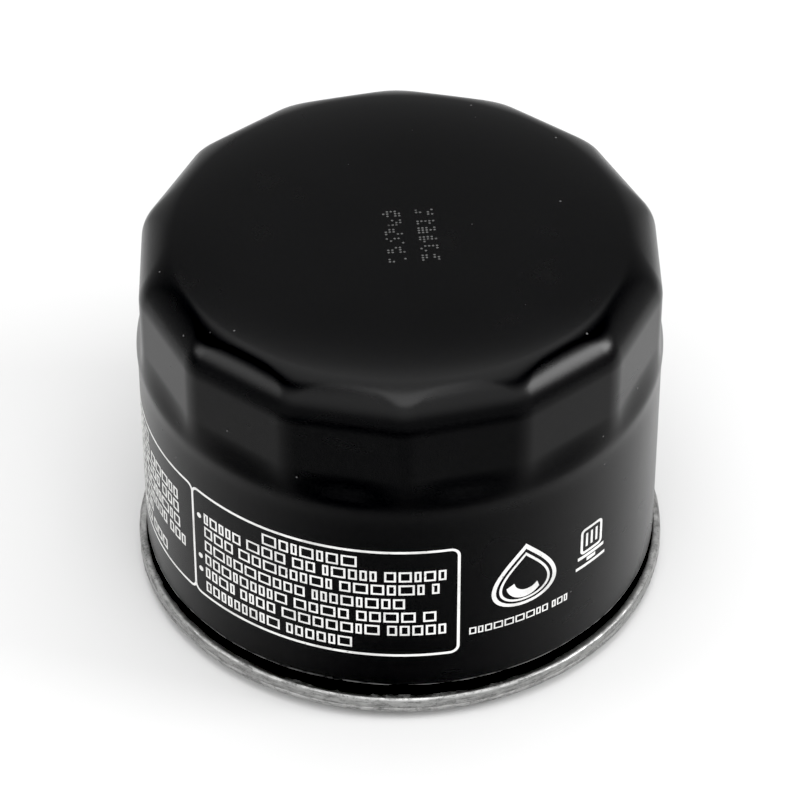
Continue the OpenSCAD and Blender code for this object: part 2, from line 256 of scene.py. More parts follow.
class StudioSettings(bpy.types.PropertyGroup):
    """The floor, the lights and the camera."""

    azimuth: bpy.props.FloatProperty(
        name="Azimuth", description="Where the camera stands round the filter",
        default=math.radians(-1.16), unit="ROTATION", subtype="ANGLE",
    )
    elevation: bpy.props.FloatProperty(
        name="Elevation", description="How far above the horizon the camera stands",
        default=math.radians(40.75), unit="ROTATION", subtype="ANGLE",
    )
    distance: bpy.props.FloatProperty(
        name="Distance", description="From the camera to the filter's middle",
        default=0.5149, unit="LENGTH", subtype="DISTANCE",
    )
    lens: bpy.props.FloatProperty(
        name="Lens", description="Focal length of the camera", default=176.6, subtype="DISTANCE_CAMERA",
    )
    shift: bpy.props.FloatProperty(
        name="Shift", description="Vertical shift of the lens, as a share of the picture", default=-0.0126,
        precision=4,
    )
    aim_height: bpy.props.FloatProperty(
        name="Aim height", description="Height of the point that the camera is aimed at",
        default=0.02585, unit="LENGTH", subtype="DISTANCE", precision=5,
    )
    floor_hole: bpy.props.FloatProperty(
        name="Floor opening", description="Radius of the opening in the floor below the filter",
        default=0.030, unit="LENGTH", subtype="DISTANCE",
    )
    floor_radius: bpy.props.FloatProperty(
        name="Floor radius", description="Radius of the round floor",
        default=0.22, unit="LENGTH", subtype="DISTANCE",
    )
    key: bpy.props.FloatProperty(
        name="Overhead light", description="Power of the softbox overhead, in watts", default=8.0,
    )
    black: bpy.props.FloatProperty(
        name="Black point", description="Light below this level is shown as black", default=0.0315,
        precision=3,
    )
    fill: bpy.props.FloatProperty(
        name="Side lights", description="Power of the softbox on the right, in watts", default=1.9,
    )


# ---- Shader maths ----


class Value:
    """A shader socket that takes part in Python sums."""

    def __init__(self, finish, socket):
        self.finish = finish
        self.socket = socket

    def math(self, operation, *values):
        return self.finish.node("ShaderNodeMath", {"operation": operation}, list(values))

    def __add__(self, other):
        return self.math("ADD", self, other)

    __radd__ = __add__

    def __sub__(self, other):
        return self.math("SUBTRACT", self, other)

    def __rsub__(self, other):
        return self.math("SUBTRACT", other, self)

    def __mul__(self, other):
        return self.math("MULTIPLY", self, other)

    __rmul__ = __mul__

    def near(self, middle, width):
        """1 at the middle value, fading to 0 at half a width to each side."""
        away = self.math("ABSOLUTE", self - middle)
        return away.step(width / 2, 0)

    def step(self, low, high):
        """A smooth step from 0 at low to 1 at high."""
        turn = low > high
        ends = (high, low) if turn else (low, high)
        out = self.finish.node(
            "ShaderNodeMapRange", {"interpolation_type": "SMOOTHSTEP"},
            {"Value": self, "From Min": ends[0], "From Max": ends[1]},
        )
        return 1 - out if turn else out


class Finish:
    """A procedural material, with its nodes made from Python."""

    def __init__(self, name):
        self.material = bpy.data.materials.new(name)
        self.material.use_nodes = True
        self.tree = self.material.node_tree
        self.shader = self.tree.nodes["Principled BSDF"]

    def node(self, kind, settings=None, values=None, out=0):
        """Makes one node: its settings first, then its sockets' values or links. Returns one output."""
        made = self.tree.nodes.new(kind)
        for key, value in (settings or {}).items():
            setattr(made, key, value)
        pairs = enumerate(values) if isinstance(values, list) else (values or {}).items()
        for key, value in pairs:
            self.put(made.inputs[key], value)
        return Value(self, made.outputs[out])

    def put(self, socket, value):
        if isinstance(value, Value):
            self.tree.links.new(value.socket, socket)
        else:
            socket.default_value = value

    def set(self, **values):
        """Sets the shader's sockets. An underscore in a name stands for a space."""
        for key, value in values.items():
            self.put(self.shader.inputs[key.replace("_", " ")], value)
        return self

    def place(self):
        return self.node("ShaderNodeTexCoord", out="Object")

    def split(self, vector):
        made = self.node("ShaderNodeSeparateXYZ", None, [vector])
        outs = made.socket.node.outputs
        return Value(self, outs[0]), Value(self, outs[1]), Value(self, outs[2])

    def stretch(self, x, y, z):
        """Object coordinates scaled by a factor for each axis."""
        return self.node("ShaderNodeVectorMath", {"operation": "MULTIPLY"}, [self.place(), (x, y, z)])

    def noise(self, scale, detail=3.0, roughness=0.55, vector=None):
        return self.node(
            "ShaderNodeTexNoise", None,
            {"Vector": vector or self.place(), "Scale": scale, "Detail": detail, "Roughness": roughness},
        )

    def cells(self, scale, vector=None):
        return self.node("ShaderNodeTexVoronoi", None, {"Vector": vector or self.place(), "Scale": scale})

    def blend(self, a, b, share):
        """A colour that goes from a to b as share goes from 0 to 1."""
        return self.node("ShaderNodeMix", {"data_type": "RGBA"}, {0: share, 6: a, 7: b}, out=2)

    def bump(self, height, distance, strength=1.0, under=None):
        values = {"Height": height, "Distance": distance, "Strength": strength}
        if under:
            values["Normal"] = under
        return self.node("ShaderNodeBump", None, values)


def shade(colour, share):
    """A colour made lighter or darker by a share."""
    return tuple(min(c * share, 1.0) for c in colour[:3]) + (1.0,)


def enamel(colour):
    """Semi-gloss black baked enamel, with light orange peel, dust nibs, fine handling marks and a lighter line
    round the neck that is partly rubbed paint and partly a painted highlight.
    """
    made = Finish("Baked enamel")
    cloud = made.noise(38, 2)
    peel = made.noise(520, 2, 0.45)
    pit = made.noise(2600, 2, 0.5)
    dust = made.cells(190, made.stretch(1, 1, 1.2)).step(0.034, 0.016)
    rub = made.noise(90, 4, 0.7, made.stretch(1, 1, 5)).step(0.62, 0.78)
    _, _, height = made.split(made.place())
    # A thin wavy lighter line round the neck just above the seam: rubbed paint, and also a painted highlight
    # that stands in for the floor's reflection on the neck.
    wave = made.noise(70, 2, 0.5)
    neck_rub_and_highlight = (height + wave * 0.0007).near(0.00562, 0.00042) * made.noise(420, 3, 0.6).step(0.42, 0.60)
    base = made.blend(colour, shade(colour, 1.8), cloud)
    base = made.blend(base, (0.16, 0.16, 0.16, 1.0), dust * 0.5)
    base = made.blend(base, (0.11, 0.11, 0.11, 1.0), neck_rub_and_highlight * 0.8)
    skin = made.bump(peel, 0.00002, 0.22)
    skin = made.bump(pit, 0.000004, 0.35, skin)
    skin = made.bump(dust, 0.00002, 0.5, skin)
    made.set(
        Base_Color=base, Roughness=0.24 + cloud * 0.05 + rub * 0.05 + dust * 0.3 + neck_rub_and_highlight * 0.2, Normal=skin,
        IOR=1.35, Metallic=0.0,
    )
    return made.material


def rolled_tin(colour):
    """Tin-plated sheet after the seaming rolls: mottled, with streaks round the rim and dull specks."""
    made = Finish("Rolled tinplate")
    streak = made.noise(260, 5, 0.7, made.stretch(1, 1, 14))
    blotch = made.noise(700, 4, 0.7, made.stretch(1, 1, 2.5))
    speck = made.noise(2600, 3, 0.7)
    dull = (blotch * 0.6 + streak * 0.4).step(0.40, 0.62)
    dirt = (speck * 0.45 + streak * 0.55).step(0.51, 0.61)
    base = made.blend(colour, shade(colour, 0.56), dull)
    base = made.blend(base, shade(colour, 0.25), dirt * 0.75)
    skin = made.bump(streak, 0.00004, 0.35)
    skin = made.bump(speck, 0.00002, 0.3, skin)
    made.set(
        Base_Color=base, Metallic=1.0 - dirt * 0.35, Roughness=0.30 + dull * 0.14 + dirt * 0.2, Normal=skin,
    )
    return made.material


def bright_sheet(name, colour, gloss=0.3):
    """Sheet steel with fine drawing lines and a cloudy plating."""
    made = Finish(name)
    cloud = made.noise(120, 4, 0.6)
    grain = made.noise(900, 4, 0.7, made.stretch(1, 1, 7))
    stain = made.noise(60, 3, 0.6).step(0.55, 0.75)
    base = made.blend(colour, shade(colour, 0.72), cloud.step(0.35, 0.7))
    base = made.blend(base, shade(colour, 0.45), stain * 0.4)
    made.set(
        Base_Color=base, Metallic=1.0, Roughness=gloss + cloud * 0.16 + grain * 0.06,
        Normal=made.bump(grain, 0.00002, 0.3),
    )
    return made.material


def zinc_plate(colour):
    """Zinc-plated pressed steel: spangled clouds, turning marks and a little dirt in the pits."""
    made = Finish("Zinc plate")
    spangle = made.cells(260)
    cloud = made.noise(85, 4, 0.65)
    grain = made.noise(1400, 4, 0.65)
    pit = made.noise(700, 2).step(0.70, 0.78)
    base = made.blend(colour, shade(colour, 0.66), cloud.step(0.38, 0.68))
    base = made.blend(base, shade(colour, 1.25), spangle * 0.22)
    base = made.blend(base, shade(colour, 0.25), pit * 0.6)
    skin = made.bump(grain, 0.00003, 0.35)
    made.set(
        Base_Color=base, Metallic=1.0 - pit * 0.4, Roughness=0.34 + cloud * 0.2 + pit * 0.2,
        Normal=made.bump(pit, 0.00004, -0.4, skin),
    )
    return made.material


def rubber(name, colour, gloss=0.5, lines=9.0):
    """Moulded rubber: fine mould grain, faint flow lines and a dusty bloom."""
    made = Finish(name)
    grain = made.noise(2300, 3, 0.6)
    flow = made.noise(160, 3, 0.6, made.stretch(1, 1, lines))
    bloom = made.noise(75, 4, 0.65).step(0.48, 0.72)
    base = made.blend(colour, shade(colour, 1.7), bloom * 0.45)
    base = made.blend(base, shade(colour, 0.7), flow.step(0.5, 0.75) * 0.5)
    skin = made.bump(grain, 0.000025, 0.4)
    skin = made.bump(flow, 0.00006, 0.25, skin)
    made.set(Base_Color=base, Roughness=gloss + bloom * 0.14 + grain * 0.05, Normal=skin, IOR=1.48)
    return made.material


def filter_paper(colour):
    """Resin-treated paper: fibres, cloudy resin and fine crimp lines across the pleats."""
    made = Finish("Filter paper")
    fibre = made.noise(1700, 6, 0.75, made.stretch(1, 1, 0.35))
    cloud = made.noise(210, 4, 0.6)
    _, _, height = made.split(made.place())
    crimp = height.math("SINE", height * (2 * math.pi / 0.0011))
    base = made.blend(colour, shade(colour, 0.62), fibre.step(0.42, 0.7))
    base = made.blend(base, shade(colour, 1.22), cloud.step(0.45, 0.75) * 0.5)
    skin = made.bump(fibre, 0.00007, 0.6)
    skin = made.bump(crimp, 0.00004, 0.35, skin)
    made.set(Base_Color=base, Roughness=0.82 - cloud * 0.1, Normal=skin, IOR=1.4)
    return made.material


def cured_adhesive(colour):
    """Cured plastisol: glossy, with pinholes whose darkness is painted shade, and darker streaks."""
    made = Finish("Cured adhesive")
    cloud = made.noise(190, 4, 0.6)
    # The pinholes are pits, and the dark colour put into them is painted shade.
    pinhole = made.cells(900).step(0.16, 0.08)
    base = made.blend(colour, shade(colour, 0.55), cloud.step(0.4, 0.7))
    base = made.blend(base, shade(colour, 0.25), pinhole)
    skin = made.bump(cloud, 0.00012, 0.3)
    made.set(
        Base_Color=base, Roughness=0.36 + cloud * 0.14, Normal=made.bump(pinhole, 0.00008, -0.6, skin),
        IOR=1.5,
    )
    return made.material


def moulded_nylon():
    """Glass-filled nylon: matt, with pale fibres at the surface."""
    made = Finish("Glass-filled nylon")
    fibre = made.noise(1500, 5, 0.75, made.stretch(1.0, 0.3, 1.0))
    cloud = made.noise(150, 3)
    base = made.blend((0.020, 0.021, 0.023, 1.0), (0.075, 0.075, 0.078, 1.0), fibre.step(0.55, 0.75))
    made.set(Base_Color=base, Roughness=0.5 + cloud * 0.15, Normal=made.bump(fibre, 0.00003, 0.4), IOR=1.53)
    return made.material


def spring_wire():
    """Drawn spring wire: draw lines along it and blue-grey temper colour."""
    made = Finish("Spring wire")
    draw = made.noise(1900, 4, 0.7, made.stretch(1, 1, 3))
    temper = made.noise(70, 3)
    base = made.blend((0.40, 0.40, 0.42, 1.0), (0.24, 0.25, 0.28, 1.0), temper.step(0.35, 0.7))
    base = made.blend(base, (0.12, 0.11, 0.10, 1.0), draw.step(0.62, 0.8) * 0.5)
    made.set(Base_Color=base, Metallic=1.0, Roughness=0.27 + draw * 0.16, Normal=made.bump(draw, 0.00003, 0.4))
    return made.material


def sealing_compound():
    """Dried sealing compound: matt and slightly lumpy."""
    made = Finish("Sealing compound")
    lump = made.noise(900, 4, 0.6)
    base = made.blend((0.50, 0.45, 0.31, 1.0), (0.33, 0.29, 0.20, 1.0), lump.step(0.4, 0.7))
    made.set(Base_Color=base, Roughness=0.7 + lump * 0.1, Normal=made.bump(lump, 0.00006, 0.5))
    return made.material


def screen_ink(name, colour, thin=0.0):
    """Screen-printed ink: slightly uneven, with pinholes and a mesh-like edge."""
    made = Finish(name)
    cloud = made.noise(260, 4, 0.6)
    pinhole = made.noise(2400, 2, 0.5).step(0.66 - thin, 0.74 - thin)
    base = made.blend(colour, shade(colour, 0.74), cloud.step(0.4, 0.72))
    base = made.blend(base, shade(colour, 0.12), pinhole * 0.7)
    made.set(Base_Color=base, Roughness=0.45 + cloud * 0.12, Normal=made.bump(cloud, 0.00001, 0.3), IOR=1.35)
    return made.material


# ---- Mesh making. Lengths here are in millimetres. ----


def soften(points, radius, closed=True, steps=5):
    """A path of (radius, height) pairs with its corners rounded. A third number gives a corner its own size."""
    count = len(points)
    flat = [np.array(p[:2], float) for p in points]
    out = []
    for i, p in enumerate(points):
        size = p[2] if len(p) > 2 else radius
        if (not closed and i in (0, count - 1)) or size <= 0:
            out.append(flat[i])
            continue
        before, here, after = flat[i - 1], flat[i], flat[(i + 1) % count]
        u, v = before - here, after - here
        cut = min(size, 0.46 * np.linalg.norm(u), 0.46 * np.linalg.norm(v))
        a = here + u / np.linalg.norm(u) * cut
        b = here + v / np.linalg.norm(v) * cut
        for k in range(steps + 1):
            t = k / steps
            out.append((1 - t) ** 2 * a + 2 * t * (1 - t) * here + t * t * b)
    return np.array(out)


def sheet_outline(path, thickness, radius):
    """The closed outline of bent sheet metal along a path."""
    line = soften(path, radius, closed=False)
    way = np.gradient(line, axis=0)
    way /= np.linalg.norm(way, axis=1)[:, None]
    side = np.stack([-way[:, 1], way[:, 0]], 1) * thickness / 2
    return np.concatenate([line + side, (line - side)[::-1]])


def around(turns):
    """Evenly spaced angles round the axis, from -Y towards +X."""
    return np.arange(turns) * 2 * math.pi / turns


def spun(outline, turns=256, wobble=None):
    """The grid of points of an outline carried round the axis."""
    outline = np.asarray(outline, float)
    angle = around(turns)[:, None]
    radius = np.broadcast_to(outline[None, :, 0], (turns, len(outline)))
    height = np.broadcast_to(outline[None, :, 1], (turns, len(outline)))
    if wobble:
        radius, height = wobble(angle, radius, height)
    return np.stack([radius * np.sin(angle), -radius * np.cos(angle), height], 2)


def grid_faces(rows, columns, wrap_rows=True, wrap_columns=True):
    """Quads that join a grid of points."""
    r = np.arange(rows if wrap_rows else rows - 1)
    c = np.arange(columns if wrap_columns else columns - 1)
    r, c = np.meshgrid(r, c, indexing="ij")
    r1, c1 = (r + 1) % rows, (c + 1) % columns
    quads = np.stack([r * columns + c, r1 * columns + c, r1 * columns + c1, r * columns + c1], 2)
    return quads.reshape(-1, 4)


def make_piece(name, points, faces, finishes, body, nodes, crease=35.0, weld=False, marks=None):
    """An object from points in millimetres, riding on its body and standing for its CAD nodes."""
    mesh = bpy.data.meshes.new(name)
    mesh.from_pydata((np.asarray(points).reshape(-1, 3) * MM).tolist(), [], [list(f) for f in faces])
    work = bmesh.new()
    work.from_mesh(mesh)
    if marks is not None:
        for face, mark in zip(work.faces, marks):
            face.material_index = mark
    if weld:
        bmesh.ops.remove_doubles(work, verts=work.verts, dist=1e-7)
        bmesh.ops.dissolve_degenerate(work, edges=work.edges, dist=1e-8)
    bmesh.ops.recalc_face_normals(work, faces=work.faces)
    for face in work.faces:
        face.smooth = True
    work.to_mesh(mesh)
    work.free()
    mesh.set_sharp_from_angle(angle=math.radians(crease))
    for finish in finishes:
        mesh.materials.append(finish)
    made = bpy.data.objects.new(name, mesh)
    bpy.context.scene.collection.objects.link(made)
    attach(made, body)
    if nodes:
        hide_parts(*nodes)
    return made


def spun_piece(name, outline, finish, body, nodes, turns=256, wobble=None, crease=35.0):
    grid = spun(outline, turns, wobble)
    faces = grid_faces(turns, grid.shape[1])
    return make_piece(name, grid, faces, [finish], body, nodes, crease)


def finish_node(name, finish):
    """Gives a CAD node that stays its finish."""
    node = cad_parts[name]
    node.data.materials.clear()
    node.data.materials.append(finish)


def loops_between(loop, heights, shift):
    """Points of a closed plan loop repeated at several heights, and shifted a little at each."""
    rows = []
    for i, z in enumerate(heights):
        plan = shift(loop, i / (len(heights) - 1))
        rows.append(np.column_stack([plan, np.full(len(plan), z)]))
    return np.array(rows)


def settings():
    return bpy.context.scene.oil_filter


# ---- The can ----


def smooth_step(x, low, high):
    t = np.clip((x - low) / (high - low), 0, 1)
    return t * t * (3 - 2 * t)


def polygon_radius(angle, corner):
    """Distance from the axis to the ring of flats, with corners of the given radius."""
    can = settings().can
    half_turn = math.pi / can.flat_count
    apothem = can.wall_radius / MM * math.cos(half_turn)
    to_corner = (apothem - corner) / math.cos(half_turn)
    off = (angle + half_turn) % (2 * half_turn) - half_turn
    rounded = to_corner * np.cos(off) + np.sqrt(np.maximum(corner**2 - (to_corner * np.sin(off)) ** 2, 0))
    flat = apothem / np.cos(half_turn - np.abs(off))
    reach = np.arctan2(corner * math.sin(half_turn), to_corner + corner * math.cos(half_turn))
    return np.where(np.abs(off) < reach, rounded, flat)


def wall_ripple(angle, height):
    """How far a drawn wall strays from a true cylinder."""
    return (
        0.020 * np.sin(2 * angle + 0.7)
        + 0.012 * np.sin(5 * angle + height * 0.11)
        + 0.006 * np.sin(11 * angle - height * 0.23 + 1.9)
    )


def can_radius(angle, section_radius, height, inset=0.0):
    """The can's radius: flats pressed in, a shoulder that follows them, and a slight swell below."""
    can = settings().can
    press = smooth_step(height, can.flats_low / MM, can.flats_full / MM)
    out = section_radius + inset
    press = press * smooth_step(out, 27.0, 33.2)
    corner = can.corner_radius / MM + 20 * (1 - smooth_step(out, 29.5, 33.0))
    deep = can.wall_radius / MM - polygon_radius(angle, corner)
    swell_height, swell_spread, swell_depth = 35.4, 1.6, 0.12
    swell = swell_depth * np.exp(-(((height - swell_height) / swell_spread) ** 2))
    ripple = wall_ripple(angle, height) * smooth_step(height, 5, 9) * (1 - smooth_step(height, 36, 40))
    return section_radius - deep * press + swell + ripple


def can_wall_radius(angle, height):
    """The round wall's radius at an angle and a height."""
    wall = settings().can.wall_radius / MM
    return can_radius(angle, np.full(np.shape(height), wall), height)


def closed_end(inset):
    """Shoulder and crown from the wall to the middle, as (radius, height) pairs."""
    can = settings().can
    wall, top, crown = can.wall_radius / MM, can.height / MM, can.crown / MM
    bend = can.shoulder / MM
    centre, middle = wall - bend, top - crown - bend
    edge_slope = math.radians(6)
    arc = [
        (centre + (bend - inset) * math.cos(a), middle + (bend - inset) * math.sin(a))
        for a in np.linspace(0, math.pi / 2 - edge_slope, 48)
    ]
    edge, edge_height = arc[-1]
    drop = top - inset - edge_height
    power = edge * math.tan(edge_slope) / drop
    dish = [(edge * share, top - inset - drop * share**power) for share in np.linspace(1, 0, 60)[1:]]
    return arc + dish


def build_can():
    can = settings().can
    seam = settings().seam
    wall, sheet = can.wall_radius / MM, can.sheet / MM
    foot = seam.low / MM + seam.sheet / MM + 0.02
    hook = foot + seam.tall / MM - 2 * seam.sheet / MM - 0.07
    low_wall = wall - can.neck / MM
    top_of_wall = (can.height - can.crown - can.shoulder) / MM
    full = can.neck_top / MM
    levels = np.concatenate([
        np.linspace(full + 0.7, 33, 30), np.linspace(33.5, 41, 34), np.linspace(41.5, top_of_wall - 0.2, 14),
    ])
    outside = [(low_wall - 0.25, 3.75), (low_wall - 0.2, 4.0)]
    neck = soften([(low_wall - 0.2, 4.0), (wall - 0.02, full), (wall, full + 0.4)], 0.35, closed=False)
    outside += neck[1:].tolist()
    outside += [(wall, z) for z in levels] + closed_end(0)
    inside = closed_end(sheet)[::-1] + [(wall - sheet, z) for z in levels[::-1]]
    inside += [(wall - sheet, full), (low_wall - sheet, 4.4)]
    curl = [
        (low_wall - sheet, foot + 0.25), (low_wall - sheet + 0.2, foot),
        (low_wall + 0.75, foot), (low_wall + 0.95, foot + 0.2), (low_wall + 0.95, hook),
        (low_wall + 0.49, hook), (low_wall + 0.49, foot + sheet), (low_wall, foot + sheet), (low_wall, 3.2),
    ]
    section = np.array(outside + inside + curl)
    inset = np.zeros(len(section))
    inset[len(outside):len(outside) + len(inside)] = sheet

    def press(angle, radius, height):
        wave = 0.10 * np.sin(3 * angle + 1) + 0.07 * np.sin(8 * angle + 2) + 0.05 * np.sin(19 * angle)
        drift = wave * smooth_step(height, 4.3, 5.2) * (1 - smooth_step(height, 6.0, 9.0))
        high = height + drift
        shaped = can_radius(angle, radius, high, inset[None, :])
        return np.where(high > 4.6, shaped, radius), high

    turns = can.flat_count * 60
    grid = spun(section, turns, press)
    faces = grid_faces(turns, len(section))
    return make_piece(
        "can_shell", grid, faces, [enamel(can.paint)], "housing", ["can"], 60, weld=True,
    )


# ---- The rolled seam and its lid ----


def build_lid():
    can, seam = settings().can, settings().seam
    sheet, can_sheet = seam.sheet / MM, can.sheet / MM
    wall = (can.wall_radius - can.neck) / MM - can_sheet / 2
    gap = 0.02
    chuck = wall - can_sheet / 2 - gap - sheet / 2
    cover = wall + can_sheet / 2 + gap + sheet / 2
    outer = seam.outer_radius / MM - sheet / 2
    low = seam.low / MM + sheet / 2
    top = (seam.low + seam.tall) / MM - sheet / 2
    channel = GASKET_HIGH.x / MM + 0.18 + sheet / 2
    lip = settings().base.gasket_bore / MM - 0.12 - sheet / 2
    roof = PLATE_LOW.z / MM - 0.02 - sheet / 2
    face = [(outer, top - 0.55, 0), (outer - 0.015, low + 1.05, 0), (outer - 0.02, low + 0.72, 0),
            (outer - 0.13, low + 0.55, 0.1), (outer - 0.12, low + 0.42, 0.1), (outer - 0.01, low + 0.25, 0)]
    path = [(cover, low + 0.9), (cover, top), (outer, top, 0.34), *face,
            (outer, low, 0.30), (chuck, low), (chuck, 4.0), (channel, 4.0), (channel, roof),
            (lip, roof), (lip, 2.2)]
    outline = sheet_outline(path, sheet, 0.3)

    def rolled(angle, radius, height):
        proud = smooth_step(radius, outer - 0.1, outer + 0.1)
        crest = smooth_step(height, top - 0.3, top + 0.1) * smooth_step(radius, cover - 0.5, cover)
        chatter = (
            0.012 * np.sin(23 * angle + 4 * height) + 0.010 * np.sin(61 * angle + 1.3)
            + 0.008 * np.sin(113 * angle - 3 * height)
        )
        return radius + proud * (chatter - 0.03), height + crest * chatter * 1.6

    spun_piece(
        "seaming_lid_sheet", outline, rolled_tin(seam.tin), "housing", ["seaming_lid"],
        720, rolled, 50,
    )
    finish_node("seam_compound", sealing_compound())


# ---- The tapped plate, the gasket and the anti-drain valve ----


def hole_cutter(angle, base, low, high):
    """A drill with chamfered ends that cuts one inlet hole."""
    radius = base.inlet_radius / MM
    bevel = 0.3
    outline = [(0.0, low - 1), (radius + bevel + 1, low - 1), (radius, low + bevel), (radius, high - bevel),
               (radius + bevel + 1, high + 1), (0.0, high + 1)]
    grid = spun(outline, 48)
    centre = base.inlet_circle / MM * np.array([math.sin(angle), -math.cos(angle), 0])
    return grid + centre


def build_plate():
    base = settings().base
    low, high, thick = PLATE_LOW.z / MM, PLATE_HIGH.z / MM, 2.6
    rim, bore, collar = PLATE_HIGH.x / MM, base.thread_radius / MM, 11.6
    pitch, mouth = base.thread_pitch / MM, 1.5
    depth = 0.61 * pitch
    rows = np.arange(low + mouth, high - 0.45, pitch / 14)
    outside = soften(
        [(bore + mouth + 0.001, low, 0), (rim, low, 0.3), (rim, low + thick, 0.3),
         (collar + 0.9, low + thick, 0), (collar, low + thick, 0.8), (collar, high, 0.3), (bore + 0.5, high, 0), (bore, high - 0.45, 0)],
        0.3,
    )
    flat_rings = [(r, low) for r in np.linspace(bore + mouth + 0.2, rim - 1, 12)]
    bend = [(bore + mouth * (1 - math.cos(a)), low + mouth * (1 - math.sin(a)))
            for a in np.linspace(math.pi / 2, 0, 12)[::-1]]
    section = np.concatenate([bend[::-1], flat_rings, outside[1:-1], [(bore, z) for z in rows[::-1]]])

    def tapped(angle, radius, height):
        phase = ((height - low) / pitch - angle / (2 * math.pi)) % 1.0
        groove = np.clip(1.3 - np.abs(phase - 0.5) * 3.1, 0, 1) * depth
        inside = (radius < bore + 0.02) & (height > low + mouth - 0.01)
        ends = smooth_step(height, low + mouth - 0.1, low + mouth + 0.9) * (
            1 - smooth_step(height, high - 0.9, high - 0.4))
        return radius + np.where(inside, groove * ends, 0), height

    plate = spun_piece(
        "tapping_plate_body", section, zinc_plate(base.zinc), "housing", ["tapping_plate"],
        192, tapped, 32,
    )
    cutter = bmesh.new()
    for i in range(base.inlet_count):
        grid = hole_cutter(2 * math.pi * (i + 0.5) / base.inlet_count + math.pi / 2, base, low, low + thick)
        verts = [cutter.verts.new(p * MM) for p in grid.reshape(-1, 3)]
        for quad in grid_faces(48, grid.shape[1], True, False):
            cutter.faces.new([verts[k] for k in quad])
    bmesh.ops.remove_doubles(cutter, verts=cutter.verts, dist=1e-7)
    bmesh.ops.dissolve_degenerate(cutter, edges=cutter.edges, dist=1e-8)
    bmesh.ops.recalc_face_normals(cutter, faces=cutter.faces)
    drill_mesh = bpy.data.meshes.new("inlet_drills")
    cutter.to_mesh(drill_mesh)
    cutter.free()
    drills = bpy.data.objects.new("inlet_drills", drill_mesh)
    bpy.context.scene.collection.objects.link(drills)
    cut = plate.modifiers.new("Inlets", "BOOLEAN")
    cut.operation, cut.solver, cut.object = "DIFFERENCE", "EXACT", drills
    bpy.context.view_layer.update()
    drilled = bpy.data.meshes.new_from_object(plate.evaluated_get(bpy.context.evaluated_depsgraph_get()))
    plate.modifiers.clear()
    plate.data = drilled
    for polygon in drilled.polygons:
        polygon.use_smooth = True
    drilled.set_sharp_from_angle(angle=math.radians(28))
    bpy.data.objects.remove(drills)


def build_gasket():
    base = settings().base
    inner, outer, high = base.gasket_bore / MM, GASKET_HIGH.x / MM, GASKET_HIGH.z / MM
    middle = (inner + outer) / 2
    outline = soften(
        [(inner + 0.55, 0), (middle - 0.75, 0, 0.15), (middle - 0.45, 0.28, 0.15),
         (middle + 0.45, 0.28, 0.15), (middle + 0.75, 0, 0.15), (outer - 0.55, 0), (outer, 0.55),
         (outer, 1.9, 0.2), (outer - 0.12, 2.1, 0.1), (outer, 2.3, 0.2), (outer, high - 0.5),
         (outer - 0.5, high), (inner + 0.5, high), (inner, high - 0.5), (inner, 0.55)],
        0.4,
    )
    spun_piece(
        "gasket_ring", outline, rubber("Nitrile rubber", base.gasket_rubber, 0.46), "housing",
        ["gasket"], 256,
    )


def build_drain_valve():
    base = settings().base
    bore, foot = 11.7, 7.66
    outline = soften(
        [(bore, foot, 0.15), (13.1, foot, 0.15), (14.3, 9.2, 0.8), (19, 8.72, 2), (24.3, 8.12, 0.4),
         (24.85, foot, 0.12), (25.65, foot, 0.12), (25.9, 8.7, 0.3), (25.3, 8.95, 0.3), (19, 9.75, 2),
         (14.3, 10.3, 1.0), (12.7, 10.95, 0.6), (12.6, 13.4, 0.2), (12.4, 13.6, 0.15), (bore, 13.6, 0.15)],
        0.2,
    )

    def ribbed(angle, radius, height):
        upper_face = height > 8.9 - (radius - 19) * 0.1
        rib = smooth_step(radius, 15, 16) * (1 - smooth_step(radius, 22.5, 23.5)) * upper_face
        return radius, height + rib * 0.10 * np.maximum(0, np.cos(12 * angle)) ** 6

    spun_piece(
        "anti_drain_valve_skirt", outline, rubber("Silicone rubber", base.valve_rubber, 0.4), "drain_valve",
        ["anti_drain_valve"], 240, ribbed,
    )


# ---- The filter element ----


def build_caps():
    low = [(30, 15.0), (30, 12.2, 0.6), (25.4, 12.2), (24.7, 11.85), (21.3, 11.85), (20.6, 12.2),
           (13.05, 12.2), (13.05, 15.25, 0.6), (10.4, 15.25)]
    high = [(30, 42.9), (30, 45.7, 0.6), (25.4, 45.7), (24.7, 46.05), (21.3, 46.05), (20.6, 45.7), (9.6, 45.7)]
    steel = bright_sheet("End cap steel", (0.58, 0.58, 0.56, 1.0))
    for name, path, node in (
        ("lower_end_cap_sheet", low, "lower_end_cap"), ("upper_end_cap_sheet", high, "upper_end_cap"),
    ):
        spun_piece(name, sheet_outline(path, 0.35, 0.4), steel, "element", [node], 256)


def pleat_loop(thickness, side):
    """Plan outline of one face of the folded paper."""
    pleats = settings().element.pleats
    inner, outer, fold = 15.95, 28.9, 0.45
    points = []
    for i in range(pleats):
        for angle, radius in ((2 * i, outer), (2 * i + 1, inner)):
            turn = math.pi * angle / pleats + math.pi / 2
            along = np.array([math.sin(turn), -math.cos(turn)])
            across = np.array([math.cos(turn), math.sin(turn)])
            points += [tuple(along * radius - across * fold), tuple(along * radius + across * fold)]
    line = soften(points, 0.42, steps=3)
    ahead = np.roll(line, -1, axis=0) - np.roll(line, 1, axis=0)
    ahead /= np.linalg.norm(ahead, axis=1)[:, None]
    return line + side * np.stack([ahead[:, 1], -ahead[:, 0]], 1) * thickness / 2


